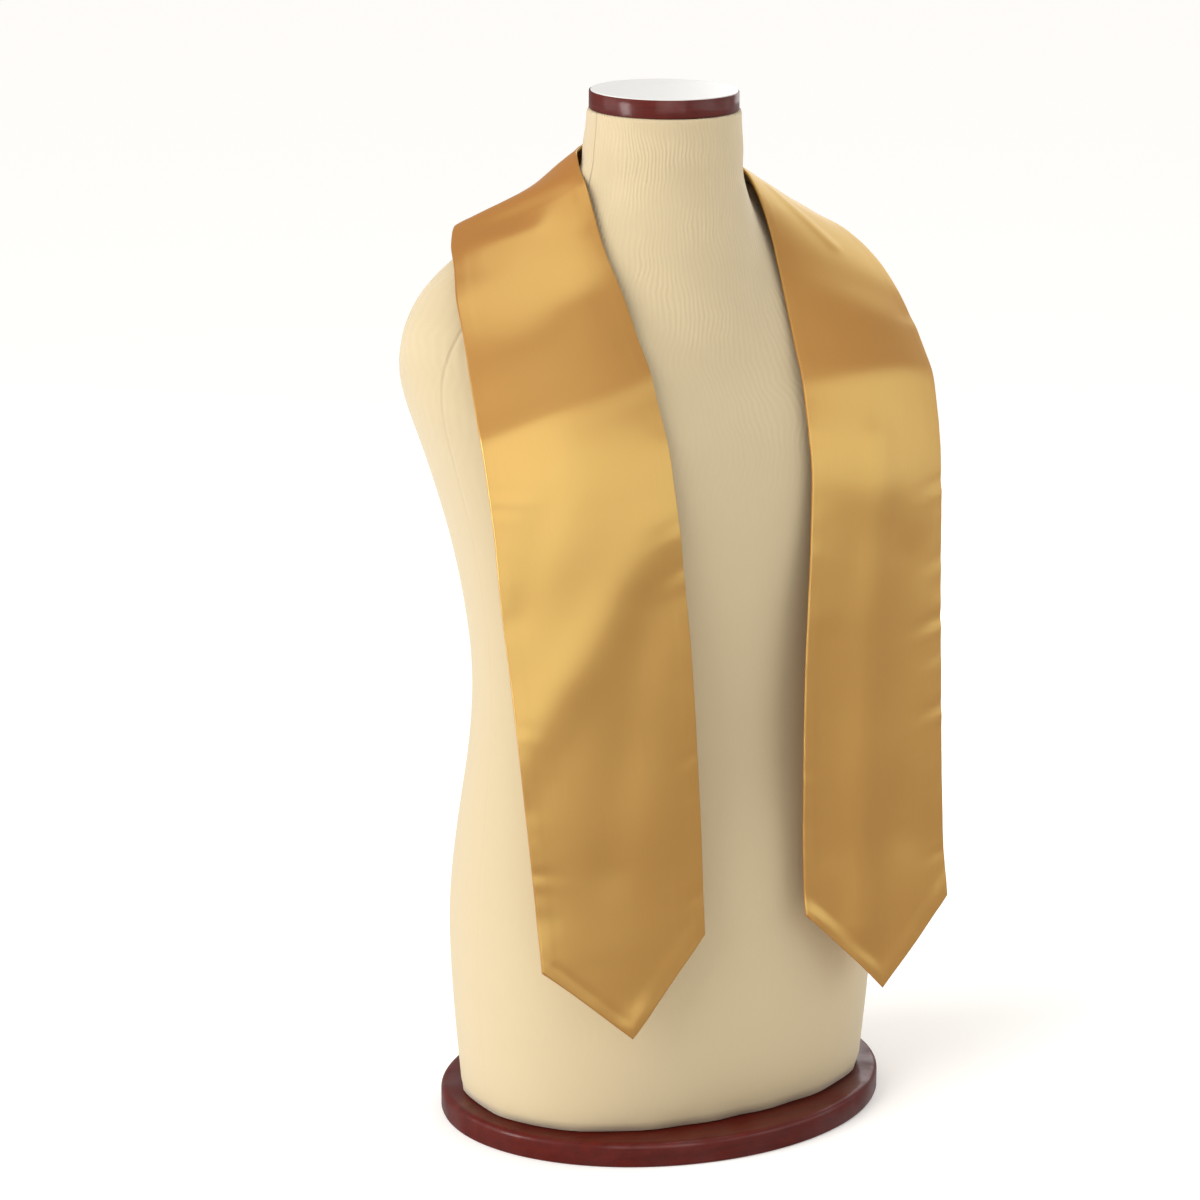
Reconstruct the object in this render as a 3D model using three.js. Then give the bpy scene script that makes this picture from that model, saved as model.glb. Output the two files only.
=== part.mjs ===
// A satin graduation stole worn by a table-top dress form.
//
// The stole is two mirrored halves joined by a seam at the centre of the back. Each half is a band
// that hugs the side of the neck, lies over the shoulder and hangs down the front to a point. It has two
// plies, a face and a lining. The form is a limbless jersey-covered torso with a wooden neck cap and
// a wooden base plate.
//
// Millimetres, +Z up. The front faces -Y, and the wearer's left is +X. The origin is on the surface that
// the base plate stands on, below the middle of the neck cap.

import * as THREE from "three";

// Driving dimensions.
const FORM_HEIGHT = 820; // surface to the top of the neck cap
const SEAM_GAP = 0.3; // between pieces that meet
const PLY_GAP = 0.4; // between the two plies, which bend together
const FACE_PLY = 1.5; // satin with its interfacing
const LINING_PLY = 1.3;
const LINING_INSET = 0.8; // the lining's edge lies this far inside the face's edge
const BAND_WIDTH = 146;
const BAND_LENGTH = 818; // centre of the back to the tip
const POINT_ROWS = 3; // sections of band over which the grid turns from square to pointed
const CAP_RADIUS = 58;
const CAP_THICKNESS = 14;
const CAP_TILT = 1.2; // degrees, forwards
const CAP_TOP_RADIUS = 56.8;
const CAP_TOP_RISE = 0.6; // the pale disc stands this far above the rim
const CAP_TOP_DEPTH = 2.5; // and is let into the cap this far
const BASE_THICKNESS = 20;
const BASE_HALF_WIDTH = 185;
const BASE_HALF_DEPTH = 156;
const BASE_EDGE = 4; // rounding of the plate's rim

// How finely the solids are faceted.
const BAND_ROWS = 40;
const BAND_COLUMNS = 6;
const FORM_RINGS = 36;
const FORM_SIDES = 32;
const ROUND_SIDES = 36;

// The left band's face, in order from the centre-back seam to the level of the tip. Each row is one
// line across the band: where it meets the inner edge and the outer edge, and how far its middle bows
// out from the straight line. Heights are below the top of the neck cap.
//   inner x, y, down    outer x, y, down    bow
const BAND_SECTIONS = [
  { at: "centre back", inner: [0, 68.3, 43], outer: [0, 112.5, 163], bow: -3 },
  { at: "nape", inner: [29.5, 62.2, 43.5], outer: [45, 110, 150], bow: -2.5 },
  { at: "neck back", inner: [49.5, 46.5, 46.5], outer: [86, 100, 133], bow: -1 },
  { at: "neck side", inner: [62, 27.5, 50.5], outer: [122, 80, 117.5], bow: 0 },
  { at: "shoulder back", inner: [69, 10.5, 58], outer: [153, 55, 104], bow: -0.5 },
  { at: "shoulder top", inner: [71.5, -3.5, 67.5], outer: [168, 34, 113.5], bow: -1.5 },
  { at: "shoulder front", inner: [73.5, -20, 88], outer: [178, 12, 124.5], bow: 0.5 },
  { at: "collar bone", inner: [74, -35.5, 112], outer: [189.5, -13, 144], bow: 3 },
  { at: "upper chest", inner: [72, -54, 140], outer: [196, -36, 168], bow: 7 },
  { at: "chest", inner: [69, -72, 168], outer: [201, -55, 196], bow: 10 },
  { at: "mid chest", inner: [66, -89, 197], outer: [203.5, -69.5, 224], bow: 11 },
  { at: "breast", inner: [64, -103.5, 227], outer: [204, -81, 252], bow: 11 },
  { at: "fullest", inner: [62, -114.5, 257], outer: [203.5, -88, 279], bow: 10 },
  { at: "below fullest", inner: [61, -121, 288], outer: [202, -93, 307], bow: 9 },
  { at: "ribs", inner: [57, -127, 345], outer: [199.5, -99, 362], bow: 7 },
  { at: "waist", inner: [52.5, -131, 405], outer: [195.5, -106, 420], bow: 6 },
  { at: "belly", inner: [49.5, -134, 465], outer: [192.5, -113, 478], bow: 5 },
  { at: "hip", inner: [47.3, -137, 525], outer: [189.3, -120.5, 537], bow: 5 },
  { at: "low hip", inner: [45.8, -139.5, 585], outer: [186.7, -128, 595.5], bow: 4 },
  { at: "corners", inner: [45.5, -143, 634], outer: [186, -136, 643], bow: 4 },
  { at: "tip level", inner: [44.8, -150, 700], outer: [185.2, -145, 709], bow: 4 },
];
const CORNER_SECTION = BAND_SECTIONS.findIndex((row) => row.at === "corners");
const LAST_SECTION = BAND_SECTIONS.length - 1;

// The torso, from the shoulders down: depth below the top of the cap, half width, front and back faces,
// middle of the section, and how square its front and back halves are (2 is an ellipse, under 2 is
// pointed at the sides).
const TORSO_SECTIONS = [
  { down: 48, half: 48, front: 2, back: 52, middle: 30, frontPower: 1.4, backPower: 1.5 },
  { down: 64, half: 66, front: -8, back: 64, middle: 32, frontPower: 1.4, backPower: 1.5 },
  { down: 83, half: 101, front: -20, back: 71.5, middle: 33, frontPower: 1.4, backPower: 1.5 },
  { down: 103, half: 138, front: -31, back: 80, middle: 33, frontPower: 1.5, backPower: 1.75 },
  { down: 122, half: 170, front: -43, back: 88, middle: 32, frontPower: 1.65, backPower: 2 },
  { down: 142, half: 195, front: -53.5, back: 96, middle: 30, frontPower: 1.85, backPower: 2.2 },
  { down: 165, half: 211, front: -66.5, back: 104, middle: 27, frontPower: 2.1, backPower: 2.3 },
  { down: 195, half: 218, front: -84, back: 111, middle: 22, frontPower: 2.4, backPower: 2.35 },
  { down: 225, half: 215, front: -98.5, back: 116, middle: 16, frontPower: 2.5, backPower: 2.35 },
  { down: 260, half: 203, front: -111.5, back: 117, middle: 10, frontPower: 2.5, backPower: 2.3 },
  { down: 300, half: 190, front: -117, back: 115, middle: 6, frontPower: 2.45, backPower: 2.25 },
  { down: 345, half: 178, front: -117, back: 109, middle: 3, frontPower: 2.4, backPower: 2.2 },
  { down: 400, half: 168, front: -112, back: 102, middle: 0, frontPower: 2.35, backPower: 2.2 },
  { down: 450, half: 164, front: -109, back: 98, middle: -1, frontPower: 2.3, backPower: 2.15 },
  { down: 505, half: 166, front: -110, back: 102, middle: 0, frontPower: 2.3, backPower: 2.15 },
  { down: 570, half: 173, front: -121, back: 115, middle: 2, frontPower: 2.35, backPower: 2.2 },
  { down: 640, half: 179, front: -128, back: 124, middle: 3, frontPower: 2.4, backPower: 2.25 },
  { down: 710, half: 178, front: -130, back: 121, middle: 3, frontPower: 2.4, backPower: 2.25 },
  { down: 799.7, half: 171, front: -124, back: 114, middle: 2, frontPower: 2.3, backPower: 2.25 },
];

// The neck column, which leans forwards and runs down inside the shoulders: depth, radius and middle.
const NECK_SECTIONS = [
  { down: CAP_TOP_RISE + CAP_THICKNESS + SEAM_GAP, radius: 60, middle: 0 },
  { down: 28, radius: 60.5, middle: 0.5 },
  { down: 45, radius: 62.8, middle: 2 },
  { down: 65, radius: 62.6, middle: 2.5 },
  { down: 90, radius: 71, middle: 5.5 },
  { down: 120, radius: 76, middle: 5 },
  { down: 160, radius: 78, middle: -2 },
  { down: 200, radius: 70, middle: -14 },
];
const BLEND_POWER = 12; // how tightly the neck runs into the shoulders

const FORM_TOP = NECK_SECTIONS[0].down;
const TOP_SLOPE = Math.tan(THREE.MathUtils.degToRad(CAP_TILT)); // the neck's top is cut to suit the cap
const FORM_BOTTOM = TORSO_SECTIONS.at(-1).down;

// A cubic through the values of one column of a table, flat-ended, at any place between its rows.
function column(rows, key, value) {
  const xs = rows.map((row) => row[key]);
  const ys = rows.map(value);
  const slope = (i) => {
    const a = Math.max(i - 1, 0);
    const b = Math.min(i + 1, rows.length - 1);
    return (ys[b] - ys[a]) / (xs[b] - xs[a]);
  };
  return (x) => {
    if (x <= xs[0]) return ys[0];
    if (x >= xs.at(-1)) return ys.at(-1);
    const i = xs.findIndex((right) => right > x) - 1;
    const width = xs[i + 1] - xs[i];
    const t = (x - xs[i]) / width;
    const rise = 3 * t * t - 2 * t * t * t;
    const leave = t * (1 - t) * (1 - t) * width * slope(i);
    const arrive = t * t * (t - 1) * width * slope(i + 1);
    return ys[i] * (1 - rise) + ys[i + 1] * rise + leave + arrive;
  };
}

const torso = Object.fromEntries(
  ["half", "front", "back", "middle", "frontPower", "backPower"].map((key) => [
    key,
    column(TORSO_SECTIONS, "down", (row) => row[key]),
  ]),
);
const neck = Object.fromEntries(
  ["radius", "middle"].map((key) => [key, column(NECK_SECTIONS, "down", (row) => row[key])]),
);

// How far the form's surface is from (0, middle) in a direction, at a depth below the top of the cap.
function torsoReach(down, across, along) {
  const front = along < 0;
  const depth = front ? torso.middle(down) - torso.front(down) : torso.back(down) - torso.middle(down);
  const power = front ? torso.frontPower(down) : torso.backPower(down);
  const sum = Math.abs(across / torso.half(down)) ** power + Math.abs(along / depth) ** power;
  return sum ** (-1 / power);
}

function neckReach(down, across, along, middle) {
  const radius = neck.radius(down);
  const offset = neck.middle(down) - middle;
  const toward = offset * along;
  return toward + Math.sqrt(Math.max(toward * toward - offset * offset + radius * radius, 0));
}

function formMiddle(down) {
  const blend = THREE.MathUtils.smoothstep(down, 40, 90);
  return THREE.MathUtils.lerp(neck.middle(down), torso.middle(down), blend);
}

function formPoint(down, angle) {
  const middle = formMiddle(down);
  const across = Math.cos(angle);
  const along = Math.sin(angle);
  let reach = 0;
  if (down >= TORSO_SECTIONS[0].down) reach = torsoReach(down, across, along);
  if (down <= NECK_SECTIONS.at(-1).down) {
    const neckPart = neckReach(down, across, along, middle);
    reach = (reach ** BLEND_POWER + neckPart ** BLEND_POWER) ** (1 / BLEND_POWER);
  }
  const y = middle + along * reach;
  const tilt = TOP_SLOPE * (1 - THREE.MathUtils.smoothstep(down, FORM_TOP, 70));
  return new THREE.Vector3(across * reach, y, FORM_HEIGHT - down + y * tilt);
}

// A closed solid through rings of equal length, its two ends closed by fans.
function loft(rings) {
  const sides = rings[0].length;
  const positions = rings.flat().flatMap((point) => point.toArray());
  const faces = [];
  for (let ring = 0; ring < rings.length - 1; ring++) {
    for (let side = 0; side < sides; side++) {
      const a = ring * sides + side;
      const b = ring * sides + ((side + 1) % sides);
      faces.push(a, b, b + sides, a, b + sides, a + sides);
    }
  }
  for (const [ring, turned] of [[0, true], [rings.length - 1, false]]) {
    const centre = rings[ring].reduce((sum, point) => sum.add(point), new THREE.Vector3());
    const hub = positions.length / 3;
    positions.push(...centre.divideScalar(sides).toArray());
    for (let side = 0; side < sides; side++) {
      const a = ring * sides + side;
      const b = ring * sides + ((side + 1) % sides);
      faces.push(...(turned ? [b, a, hub] : [a, b, hub]));
    }
  }
  return geometryOf(positions, faces);
}

function geometryOf(positions, faces) {
  const geometry = new THREE.BufferGeometry();
  geometry.setAttribute("position", new THREE.Float32BufferAttribute(positions, 3));
  geometry.setIndex(faces);
  geometry.computeVertexNormals();
  return geometry;
}

// The form's rings are closer together over the shoulders, where its outline turns fastest.
function formBody() {
  const rings = [];
  for (let i = 0; i <= FORM_RINGS; i++) {
    const t = i / FORM_RINGS;
    const down = THREE.MathUtils.lerp(FORM_TOP, FORM_BOTTOM, 0.45 * t + 0.55 * t ** 2.2);
    const ring = [];
    for (let side = 0; side < FORM_SIDES; side++) {
      ring.push(formPoint(down, (2 * Math.PI * side) / FORM_SIDES));
    }
    rings.push(ring);
  }
  return loft(rings.reverse());
}

// The band as a surface: place runs along it in sections of the table, and across runs from 0 at the
// inner edge to 1 at the outer edge.
const innerEdge = edgeCurve("inner");
const outerEdge = edgeCurve("outer");
const bowAt = column(
  BAND_SECTIONS.map((row, index) => ({ ...row, index })),
  "index",
  (row) => row.bow,
);

// The inner edge runs smoothly over the centre-back seam. The outer edge comes to a soft point there.
function edgeCurve(side) {
  const points = BAND_SECTIONS.map((row) => {
    const [x, y, down] = row[side];
    return new THREE.Vector3(x, y, FORM_HEIGHT - down);
  });
  const [first, second] = points;
  const mirrored = second.clone().multiply(new THREE.Vector3(-1, 1, 1));
  const reflected = first.clone().multiplyScalar(2).sub(second);
  points.unshift(side === "inner" ? mirrored : reflected);
  return new THREE.CatmullRomCurve3(points);
}

function flatBandPoint(place, across) {
  const t = THREE.MathUtils.clamp((place + 1) / (LAST_SECTION + 1), 0, 1);
  return innerEdge.getPoint(t).lerp(outerEdge.getPoint(t), across);
}

function bandFrame(place, across) {
  const step = 0.05;
  const along = flatBandPoint(place + step, across).sub(flatBandPoint(place - step, across));
  const over = flatBandPoint(place, 1).sub(flatBandPoint(place, 0));
  return along.cross(over).normalize();
}

function bandPoint(place, across) {
  const out = bandFrame(place, across);
  const bow = bowAt(place) * 4 * across * (1 - across);
  return flatBandPoint(place, across).addScaledVector(out, bow);
}

function bandNormal(place, across) {
  const step = 0.02;
  const lengthwise = bandPoint(Math.min(place + step, LAST_SECTION), across);
  lengthwise.sub(bandPoint(Math.max(place - step, 0), across));
  const crosswise = bandPoint(place, across + step).sub(bandPoint(place, across - step));
  return lengthwise.cross(crosswise).normalize();
}

// Where a grid row crosses one column: square rows down to the point, then rows that turn into the V.
function placeOf(row, across) {
  const square = (row / BAND_ROWS) * CORNER_SECTION;
  const turn = Math.max(0, 1 - (CORNER_SECTION - square) / POINT_ROWS);
  const towardTip = 1 - Math.abs(2 * across - 1);
  return square + (LAST_SECTION - CORNER_SECTION) * towardTip * turn;
}

// One ply of a half: the face's own points, moved in by a depth, with a thickness and an edge inset.
function ply(depth, thickness, inset, mirrored) {
  const positions = [];
  const columns = BAND_COLUMNS + 1;
  const layer = (BAND_ROWS + 1) * columns;
  for (const below of [depth, depth + thickness]) {
    for (let row = 0; row <= BAND_ROWS; row++) {
      for (let c = 0; c < columns; c++) {
        positions.push(...plyPoint(row, c / BAND_COLUMNS, below, inset, mirrored));
      }
    }
  }
  const faces = [];
  const quad = (a, b, c, d) => faces.push(...(mirrored ? [a, c, b, a, d, c] : [a, b, c, a, c, d]));
  for (let row = 0; row < BAND_ROWS; row++) {
    for (let c = 0; c < BAND_COLUMNS; c++) {
      const a = row * columns + c;
      quad(a, a + columns, a + columns + 1, a + 1);
      quad(layer + a, layer + a + 1, layer + a + columns + 1, layer + a + columns);
    }
    const left = row * columns;
    const right = left + BAND_COLUMNS;
    quad(left, layer + left, layer + left + columns, left + columns);
    quad(right, right + columns, layer + right + columns, layer + right);
  }
  const foot = BAND_ROWS * columns;
  for (let c = 0; c < BAND_COLUMNS; c++) {
    quad(c, c + 1, layer + c + 1, layer + c);
    quad(foot + c, layer + foot + c, layer + foot + c + 1, foot + c + 1);
  }
  return geometryOf(positions, faces);
}

function plyPoint(row, across, below, inset, mirrored) {
  const side = mirrored ? -1 : 1;
  const edge = inset / BAND_WIDTH;
  const shrunk = THREE.MathUtils.lerp(edge, 1 - edge, across);
  const shortened = row * (1 - inset / BAND_LENGTH);
  const place = placeOf(shortened, shrunk);
  const point = bandPoint(place, shrunk).addScaledVector(bandNormal(place, shrunk), -below);
  point.x = row === 0 ? SEAM_GAP / 2 : Math.max(point.x, SEAM_GAP / 2);
  return [side * point.x, point.y, point.z];
}

// The base plate and the cap are turned shapes. The plate is stretched to an oval.
function turned(profile) {
  const points = profile.map(([radius, height]) => new THREE.Vector2(radius, height));
  return new THREE.LatheGeometry(points, ROUND_SIDES).rotateX(Math.PI / 2);
}

function basePlate() {
  const r = BASE_HALF_WIDTH;
  const top = BASE_THICKNESS;
  const edge = BASE_EDGE;
  const profile = [[0, 0], [r - edge / 2, 0], [r, edge / 2], [r, top - edge]];
  for (const angle of [30, 60, 90]) {
    const turn = THREE.MathUtils.degToRad(angle);
    profile.push([r - edge + edge * Math.cos(turn), top - edge + edge * Math.sin(turn)]);
  }
  profile.push([0, top]);
  return turned(profile).scale(1, BASE_HALF_DEPTH / BASE_HALF_WIDTH, 1);
}

function neckCapRim() {
  const r = CAP_RADIUS;
  const well = CAP_TOP_RADIUS + SEAM_GAP;
  const floor = -CAP_TOP_DEPTH - SEAM_GAP;
  return turned([
    [0, -CAP_THICKNESS], [r - 1, -CAP_THICKNESS], [r, 1 - CAP_THICKNESS], [r, -1], [r - 0.6, 0],
    [well, 0], [well, floor], [0, floor],
  ]);
}

function neckCapTop() {
  const r = CAP_TOP_RADIUS;
  const foot = -CAP_TOP_DEPTH;
  const top = CAP_TOP_RISE;
  return turned([[0, foot], [r, foot], [r, top - 0.4], [r - 0.5, top], [0, top]]);
}

const satin = { color: 0xc9973f, roughness: 0.4, metalness: 0.1, side: THREE.DoubleSide };
const FINISHES = {
  face: new THREE.MeshStandardMaterial(satin),
  lining: new THREE.MeshStandardMaterial({ ...satin, color: 0xb98736 }),
  jersey: new THREE.MeshStandardMaterial({ color: 0xdccba2, roughness: 0.9 }),
  wood: new THREE.MeshStandardMaterial({ color: 0x4a1a14, roughness: 0.25 }),
  white: new THREE.MeshStandardMaterial({ color: 0xf2f0ec, roughness: 0.35 }),
};

const stoleOnForm = new THREE.Group();

function addPiece(parent, name, geometry, finish) {
  const mesh = new THREE.Mesh(geometry, FINISHES[finish]);
  mesh.name = name;
  parent.add(mesh);
}

const liningDepth = FACE_PLY + PLY_GAP;
for (const [side, mirrored] of [["left", false], ["right", true]]) {
  addPiece(stoleOnForm, `${side}_face`, ply(0, FACE_PLY, 0, mirrored), "face");
  const lining = ply(liningDepth, LINING_PLY, LINING_INSET, mirrored);
  addPiece(stoleOnForm, `${side}_lining`, lining, "lining");
}
addPiece(stoleOnForm, "form_body", formBody(), "jersey");
addPiece(stoleOnForm, "base_plate", basePlate(), "wood");

const neckCap = new THREE.Group();
neckCap.position.z = FORM_HEIGHT - CAP_TOP_RISE;
neckCap.rotation.x = THREE.MathUtils.degToRad(CAP_TILT);
addPiece(neckCap, "neck_cap_rim", neckCapRim(), "wood");
addPiece(neckCap, "neck_cap_top", neckCapTop(), "white");
stoleOnForm.add(neckCap);

export default stoleOnForm;
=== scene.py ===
"""A gold satin graduation stole worn by a limbless dress form.

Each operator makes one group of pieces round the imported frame: the stole's four plies, the form's
jersey cover, its neck cap, its base plate, and the studio stage.
"""

import math
from collections import namedtuple
from functools import lru_cache

import bmesh
import bpy
from bpy.props import FloatProperty, FloatVectorProperty, IntProperty, PointerProperty
from mathutils import Matrix, Quaternion, Vector, noise


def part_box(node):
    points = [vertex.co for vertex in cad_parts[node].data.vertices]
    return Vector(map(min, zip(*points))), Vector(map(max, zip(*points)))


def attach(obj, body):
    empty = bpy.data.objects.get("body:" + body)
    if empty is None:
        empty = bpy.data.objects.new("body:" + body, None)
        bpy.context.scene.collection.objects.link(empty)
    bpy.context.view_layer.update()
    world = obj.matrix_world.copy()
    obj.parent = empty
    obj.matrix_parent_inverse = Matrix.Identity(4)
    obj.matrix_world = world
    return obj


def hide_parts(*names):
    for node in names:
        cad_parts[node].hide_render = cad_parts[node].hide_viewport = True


bl_info = {
    "name": "Graduation Stole on a Dress Form",
    "version": (1, 0, 0),
    "blender": (4, 5, 0),
    "location": "3D View > Sidebar > Stole",
    "description": "Builds a satin graduation stole, the dress form that wears it, and a studio",
    "category": "Object",
}

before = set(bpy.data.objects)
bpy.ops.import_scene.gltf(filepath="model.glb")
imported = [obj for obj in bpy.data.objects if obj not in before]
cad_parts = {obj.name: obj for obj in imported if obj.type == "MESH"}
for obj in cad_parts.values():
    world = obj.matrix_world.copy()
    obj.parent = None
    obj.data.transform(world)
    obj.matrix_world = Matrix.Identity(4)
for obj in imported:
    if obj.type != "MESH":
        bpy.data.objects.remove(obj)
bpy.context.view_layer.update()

MM = 0.001


def linear(code):
    """An sRGB hex colour as linear red, green and blue."""
    parts = (int(code[i : i + 2], 16) / 255 for i in (1, 3, 5))
    return tuple(c / 12.92 if c <= 0.04045 else ((c + 0.055) / 1.055) ** 2.4 for c in parts)


# ---------------------------------------------------------------------------------------------
# The band: one half of the stole, as a surface. Left is the wearer's left, +X, and the right half is its
# mirror image apart from its creases.

# Each row is one line across the band: where it meets the inner edge and the outer edge, in
# millimetres below the height of the form, and how far its middle bows outwards.
Section = namedtuple("Section", "at inner outer bow")
BAND_SECTIONS = [
    Section("centre back", (0, 68.3, 43), (0, 112.5, 163), -3),
    Section("nape", (29.5, 62.2, 43.5), (45, 110, 150), -2.5),
    Section("neck back", (49.5, 46.5, 46.5), (86, 100, 133), -1),
    Section("neck side", (62, 27.5, 50.5), (122, 80, 117.5), 0),
    Section("shoulder back", (69, 10.5, 58), (153, 55, 104), -0.5),
    Section("shoulder top", (71.5, -3.5, 67.5), (168, 34, 113.5), -1.5),
    Section("shoulder front", (73.5, -20, 88), (178, 12, 124.5), 0.5),
    Section("collar bone", (74, -35.5, 112), (189.5, -13, 144), 3),
    Section("upper chest", (72, -54, 140), (196, -36, 168), 7),
    Section("chest", (69, -72, 168), (201, -55, 196), 10),
    Section("mid chest", (66, -89, 197), (203.5, -69.5, 224), 11),
    Section("breast", (64, -103.5, 227), (204, -81, 252), 11),
    Section("fullest", (62, -114.5, 257), (203.5, -88, 279), 10),
    Section("below fullest", (61, -121, 288), (202, -93, 307), 9),
    Section("ribs", (57, -127, 345), (199.5, -99, 362), 7),
    Section("waist", (52.5, -131, 405), (195.5, -106, 420), 6),
    Section("belly", (49.5, -134, 465), (192.5, -113, 478), 5),
    Section("hip", (47.3, -137, 525), (189.3, -120.5, 537), 5),
    Section("low hip", (45.8, -139.5, 585), (186.7, -128, 595.5), 4),
    Section("corners", (45.5, -143, 634), (186, -136, 643), 4),
    Section("tip level", (44.8, -150, 700), (185.2, -145, 709), 4),
]
LAST = len(BAND_SECTIONS) - 1
CORNERS = [row.at for row in BAND_SECTIONS].index("corners")
POINT_ROWS = 3  # sections over which the rows turn from square to pointed
BAND_WIDTH = 145 * MM  # on the chest, to turn an inset into a share of the width
NECKLINE_DROP = 43 * MM  # the band's highest point below the top of the neck cap
FORM_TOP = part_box("left_face")[1].z + NECKLINE_DROP

# Soft folds, given one by one: a line from one place to another on a half, in sections along the
# band and as a share of its width from the inner edge, with a breadth and a height in millimetres.
# Ridges are above nought and troughs are below it.
Fold = namedtuple("Fold", "start end breadth height")
FOLDS = {
    "left": [
        Fold((4.1, 0.1), (4.7, 0.95), 24, -2.2),
        Fold((5.3, -0.08), (7.3, -0.1), 30, 2.0),
        Fold((5.2, 0.3), (7.0, 0.56), 7, 1.1),
        Fold((7.6, 0.1), (8.6, 0.95), 18, -1.0),
        Fold((10.6, -0.1), (10.2, 1.1), 17, 1.8),
        Fold((12.2, 0.44), (19.2, 0.38), 17, 2.8),
        Fold((14.2, 0.72), (17.8, 0.68), 22, -1.3),
        Fold((15.2, 0.12), (18.0, 0.16), 15, -0.9),
        Fold((12.4, -0.1), (13.2, 0.5), 28, 0.8),
        Fold((1.4, 0.45), (2.8, 0.75), 14, 1.2),
        Fold((0.0, -0.05), (4.4, -0.05), 15, -1.4),
    ],
    "right": [
        Fold((2.6, 0.2), (4.0, 0.9), 26, 3.6),
        Fold((5.9, 0.42), (5.05, 1.05), 14, 1.4),
        Fold((8.3, -0.1), (8.1, 0.2), 34, 3.0),
        Fold((6.5, 0.75), (6.4, 1.05), 18, -1.0),
        Fold((10.0, -0.1), (10.7, 1.1), 16, 1.8),
        Fold((13.5, 0.12), (16.15, 1.05), 24, 2.0),
        Fold((13.0, 0.45), (13.1, 1.05), 34, -1.2),
        Fold((14.4, 0.25), (17.6, 0.55), 22, -1.5),
        Fold((12.6, 0.72), (14.2, 0.92), 15, -0.7),
        Fold((1.2, 0.7), (2.4, 0.35), 15, 1.1),
        Fold((0.0, -0.05), (4.2, -0.05), 15, -1.8),
        Fold((18.95, 0.92), (19.78, 0.53), 4, -0.28),
        Fold((19.76, 0.44), (19.86, 0.5), 11, 1.7),
    ],
}

# Puckers where the seam draws up the cloth: place along the band, nought for the inner edge or one
# for the outer, how far it runs in, and its depth, in millimetres.
Pucker = namedtuple("Pucker", "at edge reach depth")
PUCKERS = {
    "left": [
        Pucker(8.7, 1, 18, 0.3), Pucker(12.1, 0, 16, 0.25), Pucker(13.1, 1, 26, 0.5),
        Pucker(14.2, 1, 18, 0.3), Pucker(15.0, 1, 28, 0.55), Pucker(15.5, 1, 18, 0.3),
        Pucker(16.2, 1, 24, 0.45), Pucker(16.9, 0, 16, 0.25), Pucker(18.2, 1, 16, 0.25),
        Pucker(3.4, 1, 16, 0.3), Pucker(1.9, 0, 12, 0.2), Pucker(1.1, 1, 18, 0.35),
    ],
    "right": [
        Pucker(9.2, 0, 15, 0.3), Pucker(11.9, 1, 28, 0.5), Pucker(12.4, 1, 18, 0.3),
        Pucker(13.4, 0, 24, 0.45), Pucker(14.0, 0, 20, 0.4), Pucker(15.6, 1, 16, 0.3),
        Pucker(16.4, 0, 16, 0.3), Pucker(17.5, 1, 18, 0.3), Pucker(18.3, 0, 14, 0.25),
        Pucker(2.9, 1, 16, 0.3), Pucker(2.2, 0, 12, 0.2), Pucker(0.9, 1, 18, 0.35),
    ],
}

PUCKER_LEAN = 0.25  # how far a pucker slants for each step that it runs in
PUCKER_BREADTH = 5  # mm
PUCKER_SPAN = 36  # mm along the edge, past which a pucker is not felt
LIP_SHARE = 0.6  # height of the lip beside a pucker, as a share of its depth
LIP_AT = 9  # mm from the pucker
LIP_BREADTH = 5.5  # mm

# Slow unevenness of hanging cloth: its breadth across and along in metres, where its noise is taken
# from, and its height in millimetres. The cockle shows beside an edge only, where seams draw it up.
Swell = namedtuple("Swell", "across along layer height")
BROAD_SWELL = Swell(0.09, 0.13, 0, 0.9)
SMALL_SWELL = Swell(0.042, 0.05, 13, 0.3)
COCKLE = Swell(0.03, 0.014, 7, 0.24)
COCKLE_REACH = 0.013
UNEVENNESS = Swell(0.03, 0.03, 21, 0.7)  # of the hem and the seam ridge, its height a share of theirs

# How each side of the pointed hem stands out over the cloth turned in behind it: the lift, and how far
# from the edge it starts and ends, in millimetres. The first is the inner side.
Hem = namedtuple("Hem", "lift start stop")
HEMS = {
    "left": (Hem(2.0, 16, 3), Hem(0.45, 19, 7)),
    "right": (Hem(0.32, 22, 8), Hem(0.1, 10, 5)),
}
HEM_CHANGE = 0.42  # share of the width at which the inner hem starts to give way to the outer one


def through(points, place):
    """The point on the smooth curve through a row of points, at a place counted from the second."""
    i = min(int(place), len(points) - 3) + 1
    t = place + 1 - i
    before, a, b = points[i - 1 : i + 2]
    after = points[i + 2] if i + 2 < len(points) else 2 * b - a
    d0, d1, d2 = (max(math.sqrt((q - p).length), 1e-4) for p, q in ((before, a), (a, b), (b, after)))
    leave = ((a - before) / d0 - (b - before) / (d0 + d1) + (b - a) / d1) * d1
    arrive = ((b - a) / d1 - (after - a) / (d1 + d2) + (after - b) / d2) * d1
    return (
        a + leave * t + (3 * (b - a) - 2 * leave - arrive) * t**2 + (2 * (a - b) + leave + arrive) * t**3
    )


def edge_points(side):
    """The points of one edge of the band, in metres, from the centre back to the tip's level."""
    rows = (getattr(row, side) for row in BAND_SECTIONS)
    return [Vector((x * MM, y * MM, FORM_TOP - down * MM)) for x, y, down in rows]


# One point more leads each edge in. The inner edge runs smoothly over the centre-back seam, and the
# outer edge comes to a soft point there.
INNER = edge_points("inner")
INNER.insert(0, INNER[1] * Vector((-1, 1, 1)))
OUTER = edge_points("outer")
OUTER.insert(0, 2 * OUTER[0] - OUTER[1])
BOW = [Vector((row.bow * MM, 0, 0)) for row in BAND_SECTIONS]


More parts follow.
